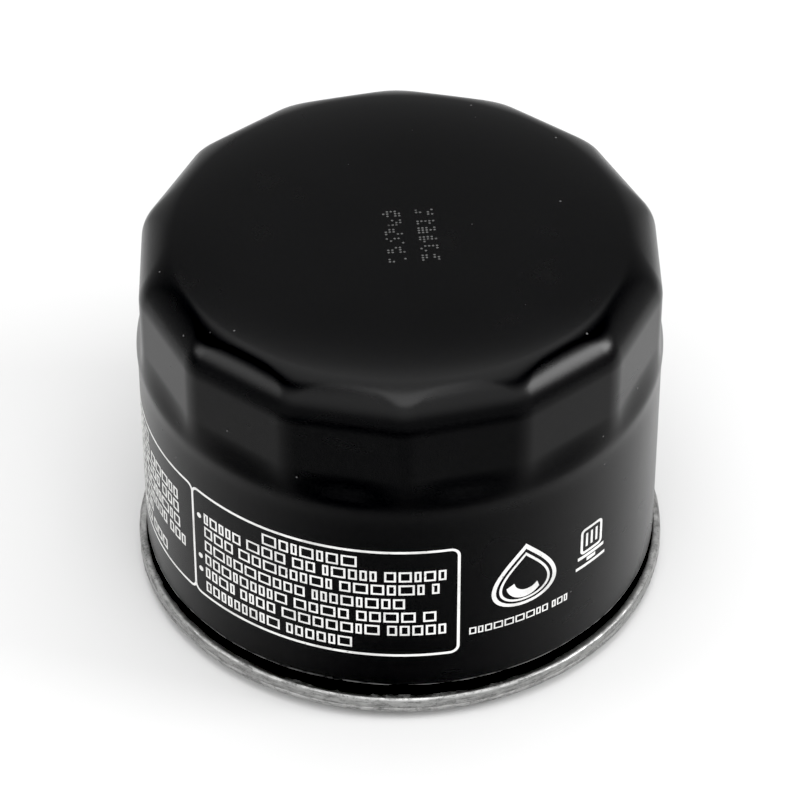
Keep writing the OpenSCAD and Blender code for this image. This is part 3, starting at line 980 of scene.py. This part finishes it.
def build_paper_pack():
    element = settings().element
    thickness = element.paper / MM
    heights = np.linspace(12.98, 44.92, 22)

    def sway(loop, share):
        far = np.linalg.norm(loop, axis=1)
        lean = 0.006 * math.sin(math.pi * share) * np.sin(np.arctan2(loop[:, 1], loop[:, 0]) * 9 + 4 * share)
        turn = lean * (far - 15.95) / 13
        c, s = np.cos(turn), np.sin(turn)
        return np.column_stack([loop[:, 0] * c - loop[:, 1] * s, loop[:, 0] * s + loop[:, 1] * c])

    outside = loops_between(pleat_loop(thickness, 1), heights, sway)
    inside = loops_between(pleat_loop(thickness, -1), heights, sway)[::-1]
    grid = np.concatenate([outside, inside])
    faces = grid_faces(grid.shape[0], grid.shape[1])
    make_piece(
        "pleated_paper_pack", grid, faces, [filter_paper(element.paper_colour)], "element",
        ["pleated_paper"], 50,
    )
    bead = cured_adhesive(element.adhesive)
    for name, node, floor, way in (
        ("lower_adhesive_bead", "lower_adhesive", 12.375, 1),
        ("upper_adhesive_bead", "upper_adhesive", 45.525, -1),
    ):
        outline = soften(
            [(15.3, floor + 0.02 * way), (29.22, floor + 0.02 * way), (29.72, floor + 0.5 * way),
             (29.72, floor + 2.0 * way, 0.1), (29.3, floor + 1.75 * way, 0.4), (15.9, floor + 1.7 * way, 0.5),
             (15.3, floor + 2.0 * way, 0.1)],
            0.2,
        )

        def meniscus(angle, radius, height, floor=floor, way=way):
            up = smooth_step(np.abs(height - floor), 1.3, 1.7) * smooth_step(radius, 15.6, 17)
            up = up * (1 - smooth_step(radius, 28, 29.4))
            return radius, height + way * up * 0.12 * np.cos(settings().element.pleats * angle)

        spun_piece(name, outline, bead, "element", [node], 480, meniscus)
    finish_node("pleat_clip", bright_sheet("Clip steel", (0.55, 0.55, 0.55, 1.0), 0.26))


def build_tube():
    finish_node("centre_tube", bright_sheet("Galvanised tube", (0.50, 0.51, 0.53, 1.0), 0.34))


# ---- The bypass valve ----


def build_bypass():
    seat = soften(
        [(6.5, 44.4), (7.3, 44.4), (7.7, 44.8, 0.2), (9.3, 44.8), (9.3, 45.9), (11.5, 45.9), (11.5, 46.4),
         (11.2, 46.7), (6.9, 46.7), (6.5, 46.3)],
        0.15,
    )
    spun_piece("bypass_seat_ring", seat, moulded_nylon(), "element", ["bypass_seat"], 160)
    seal = soften(
        [(0.02, 43.35, 0), (8.35, 43.35), (8.6, 43.55), (8.6, 44.15), (8.35, 44.35), (0.02, 44.35, 0)], 0.12)
    rubber_seal = rubber("Seal rubber", settings().base.gasket_rubber, 0.5)
    spun_piece("bypass_seal_disc", seal, rubber_seal, "bypass_valve", ["bypass_seal"], 128)
    disc = 43.33
    poppet = soften(
        [(0.02, disc, 0), (8.6, disc), (8.6, disc - 0.5), (4.4, disc - 0.5, 0.5), (4.2, disc - 2.6),
         (3.8, disc - 3), (3.5, disc - 3), (3.5, disc - 0.9, 0.4), (0.02, disc - 0.9, 0)],
        0.18,
    )
    steel = bright_sheet("Valve steel", (0.56, 0.56, 0.57, 1.0), 0.24)
    spun_piece("bypass_poppet_cup", poppet, steel, "bypass_valve", ["bypass_poppet"], 128)
    finish_node("bypass_cage", steel)


# ---- The springs ----


def coil_grid(foot, head, wire, turns, low, high, close):
    """Rings of points along a coil with a close-wound turn at each end."""
    steps, sides = int(turns * 44), 14
    share = np.linspace(0, turns, steps + 1)
    total = high - low - 2 * wire
    climb = np.where(
        share < 1, close * share,
        np.where(share > turns - 1, total - close * (turns - share),
                 close + (total - 2 * close) * (share - 1) / (turns - 2)))
    ease = np.convolve(np.pad(climb, 6, mode="reflect", reflect_type="odd"), np.ones(13) / 13, "valid")
    radius = foot + (head - foot) * share / turns
    angle = np.arange(sides) * 2 * math.pi / sides
    turn = 2 * math.pi * share[:, None]
    out = radius[:, None] + wire * np.cos(angle)[None]
    z = low + wire + ease[:, None] + wire * np.sin(angle)[None]
    grid = np.stack([out * np.cos(turn), out * np.sin(turn), z + 0 * out], 2)
    middle = grid.mean(axis=1)
    first = middle[0] + (grid[:1] - middle[0]) * 0.82
    last = middle[-1] + (grid[-1:] - middle[-1]) * 0.82
    step = (grid[1] - grid[0]).mean(axis=0)
    step_end = (grid[-1] - grid[-2]).mean(axis=0)
    first = first - step / np.linalg.norm(step) * wire * 0.2
    last = last + step_end / np.linalg.norm(step_end) * wire * 0.2
    return np.concatenate([first, grid, last])


def build_springs():
    element = settings().element
    steel = spring_wire()
    low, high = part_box("element_spring")
    low_b, high_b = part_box("bypass_spring")
    for name, node, body, sizes, joint, anchor, keep in (
        ("element_spring_coil", "element_spring", "housing",
         (14, 11.4, element.hold_wire / MM, 3, low.z / MM, high.z / MM, 1.2), "element_float", high.z, 0.77),
        ("bypass_spring_coil", "bypass_spring", "element",
         (5.4, 5.4, element.bypass_wire / MM, 5.5, low_b.z / MM, high_b.z / MM, 0.93), "bypass_lift",
         low_b.z, 0.71),
    ):
        grid = coil_grid(*sizes)
        rows, columns = grid.shape[:2]
        faces = grid_faces(rows, columns, False, True).tolist()
        faces += [list(range(columns)), [(rows - 1) * columns + k for k in range(columns)][::-1]]
        made = make_piece(name, grid, faces, [steel], body, [node], 60)
        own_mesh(made)


# ---- The printing ----


class Artwork:
    """Flat shapes in a plan: millimetres round the wall and up it, or across the closed end."""

    def __init__(self):
        self.shapes = bmesh.new()

    def fill(self, points):
        self.shapes.faces.new([self.shapes.verts.new((x, 0, z)) for x, z in points])

    def bar(self, left, right, low, high):
        self.fill([(left, low), (right, low), (right, high), (left, high)])

    def disc(self, x, z, radius, count=20):
        turn = 2 * math.pi / count
        self.fill([(x + radius * math.cos(turn * k), z + radius * math.sin(turn * k)) for k in range(count)])

    def band(self, path, width):
        """A line of even width along an open path."""
        line = np.array(path, float)
        ahead = np.gradient(line, axis=0)
        ahead /= np.linalg.norm(ahead, axis=1)[:, None]
        side = np.stack([-ahead[:, 1], ahead[:, 0]], 1) * width / 2
        left = [self.shapes.verts.new((p[0], 0, p[1])) for p in line + side]
        right = [self.shapes.verts.new((p[0], 0, p[1])) for p in line - side]
        for k in range(len(line) - 1):
            self.shapes.faces.new([left[k], right[k], right[k + 1], left[k + 1]])

    def between(self, outer, inner):
        """The area between two loops of the same number of points."""
        a = [self.shapes.verts.new((x, 0, z)) for x, z in outer]
        b = [self.shapes.verts.new((x, 0, z)) for x, z in inner]
        for k in range(len(a)):
            n = (k + 1) % len(a)
            self.shapes.faces.new([a[k], a[n], b[n], b[k]])

    def frame(self, left, right, low, high, stroke):
        """A hollow rectangle with square corners."""
        self.between(
            [(left, low), (right, low), (right, high), (left, high)],
            [(left + stroke, low + stroke), (right - stroke, low + stroke),
             (right - stroke, high - stroke), (left + stroke, high - stroke)])

    def words(self, dice, left, right, low, tall, stroke=0.27):
        """A row of small hollow blocks in groups, as a stand-in for a printed line."""
        x = left
        scale = tall / 1.75
        while x < right - 0.8 * scale:
            for _ in range(dice.randint(2, 9)):
                wide = dice.uniform(0.75, 2.1) * scale
                if x + wide > right:
                    break
                self.frame(x, x + wide, low, low + tall, stroke)
                x += wide + 0.34 * scale
            x += 0.62 * scale

    def solid(self, step):
        """Closed thin plates: triangles no wider than a step, then a second layer and its edges."""
        work = self.shapes
        bmesh.ops.triangulate(work, faces=work.faces)
        xs = [v.co.x for v in work.verts]
        x = math.ceil(min(xs) / step) * step
        while x < max(xs):
            everything = work.verts[:] + work.edges[:] + work.faces[:]
            bmesh.ops.bisect_plane(work, geom=everything, plane_co=(x, 0, 0), plane_no=(1, 0, 0))
            x += step
        made = bmesh.ops.extrude_face_region(work, geom=work.faces[:], use_keep_orig=True)
        for item in made["geom"]:
            if isinstance(item, bmesh.types.BMVert):
                item.co.y = 1
        work.verts.index_update()
        points = np.array([v.co[:] for v in work.verts])
        faces = [[v.index for v in f.verts] for f in work.faces]
        work.free()
        return points, faces


def round_box(left, right, low, high, radius, steps=6):
    """Points of a rectangle with round corners, from its upper right corner and anticlockwise."""
    points = []
    for cx, cz, start in ((right - radius, high - radius, 0), (left + radius, high - radius, 90),
                          (left + radius, low + radius, 180), (right - radius, low + radius, 270)):
        for k in range(steps + 1):
            a = math.radians(start + 90 * k / steps)
            points.append((cx + radius * math.cos(a), cz + radius * math.sin(a)))
    return points


def drop_outline(x, z, size, wide=1.22):
    """A drop with a pointed top."""
    points = []
    for k in range(48):
        t = 2 * math.pi * k / 48
        out = math.sin(t) * math.sin(t / 2) ** 1.2
        points.append((x + size * wide * out, z + size * math.cos(t)))
    return points


def draw_panels(art, dice, at, line):
    """Two outlined panels side by side, with rows of blocks in them."""
    low, high, corner = 10.6, 28.4, 1.1
    left, right, far = at(-52), at(11.4), at(-117)
    half = line / 2
    art.between(
        round_box(left - half, right + half, low - half, high + half, corner + half),
        round_box(left + half, right - half, low + half, high - half, corner - half))
    art.band(round_box(far, left, low, high, corner), line)
    tops = (25.15, 22.9, 20.5, 18.15, 15.85, 13.35)
    ends = (9.8, 9.6, 1.2, 9.8, 9.6, -8.6)
    art.words(dice, at(-31.8), at(-9.8), 25.6, 1.8)
    for top, end in zip(tops, ends):
        art.words(dice, at(-48.3), at(end), top - 1.75, 1.72)
    for z in (24.15, 17.2, 14.9):
        art.disc(at(-49.9), z, 0.4)
    art.words(dice, at(-98), at(-72), 25.6, 1.8)
    for top, end in zip(tops, (-54.5, -54, -55, -54.5, -70, -60)):
        art.words(dice, at(-113), at(end), top - 1.75, 1.72)


def draw_mark(art, x, z):
    """An oil drop in two outlines, with a crescent of light inside them."""
    art.between(drop_outline(x, z, 5.2), drop_outline(x, z - 0.2, 4.55))
    art.between(drop_outline(x, z - 0.35, 4.05), drop_outline(x, z - 0.45, 3.65))
    crescent = []
    for k in range(17):
        a = math.radians(190 + 130 * k / 16)
        crescent.append((x + 2.7 * math.cos(a), z - 1.2 + 2.7 * math.sin(a)))
    for k in range(17):
        a = math.radians(320 - 130 * k / 16)
        crescent.append((x + 0.3 + 1.9 * math.cos(a), z - 0.8 + 1.9 * math.sin(a)))
    art.fill(crescent)


def draw_sign(art, x, z):
    """A small filter can above a drip tray, in plain blocks."""
    art.between(
        round_box(x - 2.0, x + 2.0, z - 1.0, z + 3.3, 0.7),
        round_box(x - 1.6, x + 1.6, z - 0.6, z + 2.9, 0.4))
    art.bar(x - 2.4, x + 2.4, z - 1.75, z - 1.25)
    art.bar(x - 0.8, x + 0.8, z - 2.5, z - 1.95)
    art.bar(x - 2.7, x + 2.7, z - 3.35, z - 2.9)
    for k in (-0.9, 0, 0.9):
        art.bar(x + k - 0.18, x + k + 0.18, z + 0.1, z + 2.3)


def draw_code(dice):
    """Two rows of dots in no order, in a plan of the closed end."""
    code = Artwork()
    tilt = math.radians(-86)
    middle_x, middle_y = 1.45, -1.6
    pitch, rise, row_gap, dot = 0.46, 0.5, 4.2, 0.16
    for row in range(2):
        for column in range(23):
            for level in range(5):
                if dice.random() < 0.45 or column % 4 == 3:
                    continue
                along, up = -5.1 + column * pitch, -3.2 + row * row_gap + level * rise
                x = middle_x + along * math.cos(tilt) - up * math.sin(tilt)
                y = middle_y + along * math.sin(tilt) + up * math.cos(tilt)
                code.disc(x, y, dot, 8)
    return code


def build_print():
    ink = settings().ink
    wall = settings().can.wall_radius / MM
    dice = random.Random(ink.seed)

    def at(degrees):
        return math.radians(degrees) * wall

    art = Artwork()
    draw_panels(art, dice, at, ink.line / MM)
    draw_mark(art, at(26.6), 21.2)
    art.words(dice, at(13.8), at(39.4), 13.2, 1.15, 0.19)
    draw_sign(art, at(44.7), 20.5)
    points, faces = art.solid(1.4)
    angle = points[:, 0] / wall
    film = ink.film / MM
    radius = can_wall_radius(angle, points[:, 2]) + np.where(points[:, 1] > 0.5, film, -0.05)
    wall_points = np.stack([radius * np.sin(angle), -radius * np.cos(angle), points[:, 2]], 1)

    code = draw_code(dice)
    top_points, top_faces = code.solid(50)
    can = settings().can
    crown_edge = (can.wall_radius - can.shoulder) / MM
    out = np.hypot(top_points[:, 0], top_points[:, 2]) / crown_edge
    height = can.height / MM - can.crown / MM * out**6
    height = height + np.where(top_points[:, 1] > 0.5, 0.008, -0.05)
    code_points = np.stack([top_points[:, 0], top_points[:, 2], height], 1)

    everything = np.concatenate([wall_points, code_points])
    every_face = faces + [[k + len(wall_points) for k in f] for f in top_faces]
    marks = [0] * len(faces) + [1] * len(top_faces)
    finishes = [screen_ink("Screen ink", ink.ink), screen_ink("Etched dots", (0.075, 0.075, 0.075, 1.0), 0.06)]
    make_piece("ink_film", everything, every_face, finishes, "housing", ["ink_print"], 30, marks=marks)


# ---- The studio ----


def softbox(name, place, aim, wide, tall, power):
    """A rectangular area light turned towards a point."""
    lamp = bpy.data.lights.new(name, "AREA")
    lamp.shape, lamp.size, lamp.size_y, lamp.energy = "RECTANGLE", wide, tall, power
    box = bpy.data.objects.new(name, lamp)
    bpy.context.scene.collection.objects.link(box)
    box.location = place
    box.rotation_mode = "QUATERNION"
    box.rotation_quaternion = (Vector(aim) - Vector(place)).to_track_quat("-Z", "Y")


def build_floor():
    """A pale round board, open below the filter so that light reaches its base, and unseen from below."""
    studio = settings().studio
    radii = np.linspace(studio.floor_hole, studio.floor_radius, 16)
    points = spun(np.column_stack([radii, 0 * radii]), 96).reshape(-1, 3)
    mesh = bpy.data.meshes.new("studio_floor")
    mesh.from_pydata(points.tolist(), [], grid_faces(96, len(radii), True, False).tolist())
    if mesh.polygons[0].normal.z < 0:
        mesh.flip_normals()
    made = Finish("Studio floor")
    cloud = made.noise(3, 2)
    made.set(Base_Color=made.blend((0.57, 0.57, 0.57, 1), (0.60, 0.60, 0.60, 1), cloud), Roughness=0.9)
    made.shader.inputs["Specular IOR Level"].default_value = 0.0
    back = made.node("ShaderNodeNewGeometry", out="Backfacing")
    clear = made.node("ShaderNodeBsdfTransparent")
    mixed = made.node("ShaderNodeMixShader", None, [back, Value(made, made.shader.outputs[0]), clear])
    made.put(made.tree.nodes["Material Output"].inputs["Surface"], mixed)
    mesh.materials.append(made.material)
    floor = bpy.data.objects.new("studio_floor", mesh)
    bpy.context.scene.collection.objects.link(floor)
    floor.visible_shadow = False
    floor.visible_diffuse = False


def build_world():
    """A pale surround that is brighter ahead of the filter, and plain white to the camera."""
    world = bpy.data.worlds.new("Studio")
    bpy.context.scene.world = world
    world.use_nodes = True
    tree = world.node_tree
    tree.nodes.clear()
    made = Finish.__new__(Finish)
    made.tree = tree
    toward = made.node("ShaderNodeTexCoord", out="Generated")
    _, y, z = made.split(toward)
    front = (y * -1.0).step(0.05, 0.60) * z.step(0.94, 0.72)
    ahead = made.blend((1.40, 1.40, 1.40, 1), (2.3, 2.3, 2.3, 1), z.step(0.15, 0.55))
    light = made.blend((0.88, 0.88, 0.88, 1), ahead, front)
    straight = made.node("ShaderNodeLightPath", out="Is Camera Ray")
    shown = made.blend(light, WHITE, straight)
    back = made.node("ShaderNodeBackground", None, {"Color": shown, "Strength": 1.0})
    out = tree.nodes.new("ShaderNodeOutputWorld")
    made.put(out.inputs["Surface"], back)


def build_studio():
    """The floor, the surround, four softboxes and the camera."""
    studio = settings().studio
    build_floor()
    build_world()
    shoulder = (0, 0, 0.04)
    softbox("overhead_front", (0.02, -0.215, 0.585), shoulder, 0.30, 0.30, studio.key * 0.13)
    softbox("overhead_back", (0, 0.16, 0.60), shoulder, 0.60, 0.46, studio.key * 0.16)
    softbox("side_right", (0.53, -0.09, 0.29), shoulder, 0.22, 0.22, studio.fill)
    softbox("side_left", (-0.53, -0.09, 0.29), shoulder, 0.22, 0.22, studio.fill * 0.3)
    low, high = CAD_BOX
    middle = (low + high) / 2
    middle.z = studio.aim_height
    a, e = studio.azimuth, studio.elevation
    back = Vector((math.sin(a) * math.cos(e), -math.cos(a) * math.cos(e), math.sin(e)))
    lens = bpy.data.cameras.new("camera")
    lens.lens, lens.sensor_width, lens.clip_start, lens.clip_end = studio.lens, 36.0, 0.01, 20.0
    lens.shift_y = studio.shift
    camera = bpy.data.objects.new("camera", lens)
    bpy.context.scene.collection.objects.link(camera)
    camera.location = middle + back * studio.distance
    camera.rotation_mode = "QUATERNION"
    camera.rotation_quaternion = (-back).to_track_quat("-Z", "Y")
    bpy.context.scene.camera = camera
    look = bpy.context.scene.view_settings
    look.view_transform = "Standard"
    look.use_curve_mapping = True
    look.curve_mapping.black_level = (studio.black,) * 3
    look.curve_mapping.update()


# ---- The add-on ----


class FilterSettings(bpy.types.PropertyGroup):
    """All the sizes and colours of the oil filter and its studio."""

    can: bpy.props.PointerProperty(name="Can", description="The drawn can", type=CanSettings)
    seam: bpy.props.PointerProperty(name="Seam", description="The seaming lid", type=SeamSettings)
    base: bpy.props.PointerProperty(name="Base", description="The parts at the open end", type=BaseSettings)
    element: bpy.props.PointerProperty(name="Element", description="The filter element", type=ElementSettings)
    ink: bpy.props.PointerProperty(name="Printing", description="The printing on the wall", type=PrintSettings)
    studio: bpy.props.PointerProperty(name="Studio", description="Floor, lights and camera", type=StudioSettings)


class OILFILTER_OT_can(bpy.types.Operator):
    """Make the drawn can with its pressed flats"""

    bl_idname = "oilfilter.can"
    bl_label = "Can"

    def execute(self, context):
        build_can()
        return {"FINISHED"}


class OILFILTER_OT_lid(bpy.types.Operator):
    """Make the seaming lid with its rolled seam, and finish the sealing compound"""

    bl_idname = "oilfilter.lid"
    bl_label = "Seaming lid"

    def execute(self, context):
        build_lid()
        return {"FINISHED"}


class OILFILTER_OT_plate(bpy.types.Operator):
    """Make the tapped plate with its thread and inlet holes"""

    bl_idname = "oilfilter.plate"
    bl_label = "Tapping plate"

    def execute(self, context):
        build_plate()
        return {"FINISHED"}


class OILFILTER_OT_gasket(bpy.types.Operator):
    """Make the gasket with its grooved sealing face"""

    bl_idname = "oilfilter.gasket"
    bl_label = "Gasket"

    def execute(self, context):
        build_gasket()
        return {"FINISHED"}


class OILFILTER_OT_drain_valve(bpy.types.Operator):
    """Make the rubber valve that keeps oil from draining back"""

    bl_idname = "oilfilter.drain_valve"
    bl_label = "Anti-drain valve"

    def execute(self, context):
        build_drain_valve()
        return {"FINISHED"}


class OILFILTER_OT_caps(bpy.types.Operator):
    """Make the two end caps"""

    bl_idname = "oilfilter.caps"
    bl_label = "End caps"

    def execute(self, context):
        build_caps()
        return {"FINISHED"}


class OILFILTER_OT_paper(bpy.types.Operator):
    """Make the pleated paper and its adhesive beads, and finish the clip"""

    bl_idname = "oilfilter.paper"
    bl_label = "Paper pack"

    def execute(self, context):
        build_paper_pack()
        return {"FINISHED"}


class OILFILTER_OT_tube(bpy.types.Operator):
    """Finish the perforated centre tube"""

    bl_idname = "oilfilter.tube"
    bl_label = "Centre tube"

    def execute(self, context):
        build_tube()
        return {"FINISHED"}


class OILFILTER_OT_bypass(bpy.types.Operator):
    """Make the bypass valve's seat, seal and poppet, and finish its cage"""

    bl_idname = "oilfilter.bypass"
    bl_label = "Bypass valve"

    def execute(self, context):
        build_bypass()
        return {"FINISHED"}


class OILFILTER_OT_springs(bpy.types.Operator):
    """Make the two coil springs"""

    bl_idname = "oilfilter.springs"
    bl_label = "Springs"

    def execute(self, context):
        build_springs()
        return {"FINISHED"}


class OILFILTER_OT_printing(bpy.types.Operator):
    """Make the ink on the can's wall and closed end"""

    bl_idname = "oilfilter.printing"
    bl_label = "Printing"

    def execute(self, context):
        build_print()
        return {"FINISHED"}


class OILFILTER_OT_studio(bpy.types.Operator):
    """Make the floor, the lights and the camera"""

    bl_idname = "oilfilter.studio"
    bl_label = "Studio"

    def execute(self, context):
        build_studio()
        return {"FINISHED"}


OPERATORS = (
    OILFILTER_OT_can, OILFILTER_OT_lid, OILFILTER_OT_plate, OILFILTER_OT_gasket, OILFILTER_OT_drain_valve,
    OILFILTER_OT_caps, OILFILTER_OT_paper, OILFILTER_OT_tube, OILFILTER_OT_bypass, OILFILTER_OT_springs,
    OILFILTER_OT_printing, OILFILTER_OT_studio,
)


class OILFILTER_PT_panel(bpy.types.Panel):
    """The oil filter's sizes, colours and operators"""

    bl_label = "Oil filter"
    bl_idname = "OILFILTER_PT_panel"
    bl_space_type = "VIEW_3D"
    bl_region_type = "UI"
    bl_category = "Oil filter"

    def draw(self, context):
        layout = self.layout
        for group in ("can", "seam", "base", "element", "ink", "studio"):
            box = layout.box()
            box.label(text=group.capitalize())
            values = getattr(context.scene.oil_filter, group)
            for name in values.bl_rna.properties.keys():
                if name not in ("rna_type", "name"):
                    box.prop(values, name)
        for operator in OPERATORS:
            layout.operator(operator.bl_idname)


CLASSES = (
    CanSettings, SeamSettings, BaseSettings, ElementSettings, PrintSettings, StudioSettings, FilterSettings,
    *OPERATORS, OILFILTER_PT_panel,
)


def register():
    for cls in CLASSES:
        bpy.utils.register_class(cls)
    bpy.types.Scene.oil_filter = bpy.props.PointerProperty(type=FilterSettings)


def unregister():
    del bpy.types.Scene.oil_filter
    for cls in reversed(CLASSES):
        bpy.utils.unregister_class(cls)


def main():
    register()
    for name in ("can", "lid", "plate", "gasket", "drain_valve", "caps", "paper", "tube", "bypass", "springs",
                 "printing", "studio"):
        getattr(bpy.ops.oilfilter, name)()


if __name__ == "__main__":
    main()
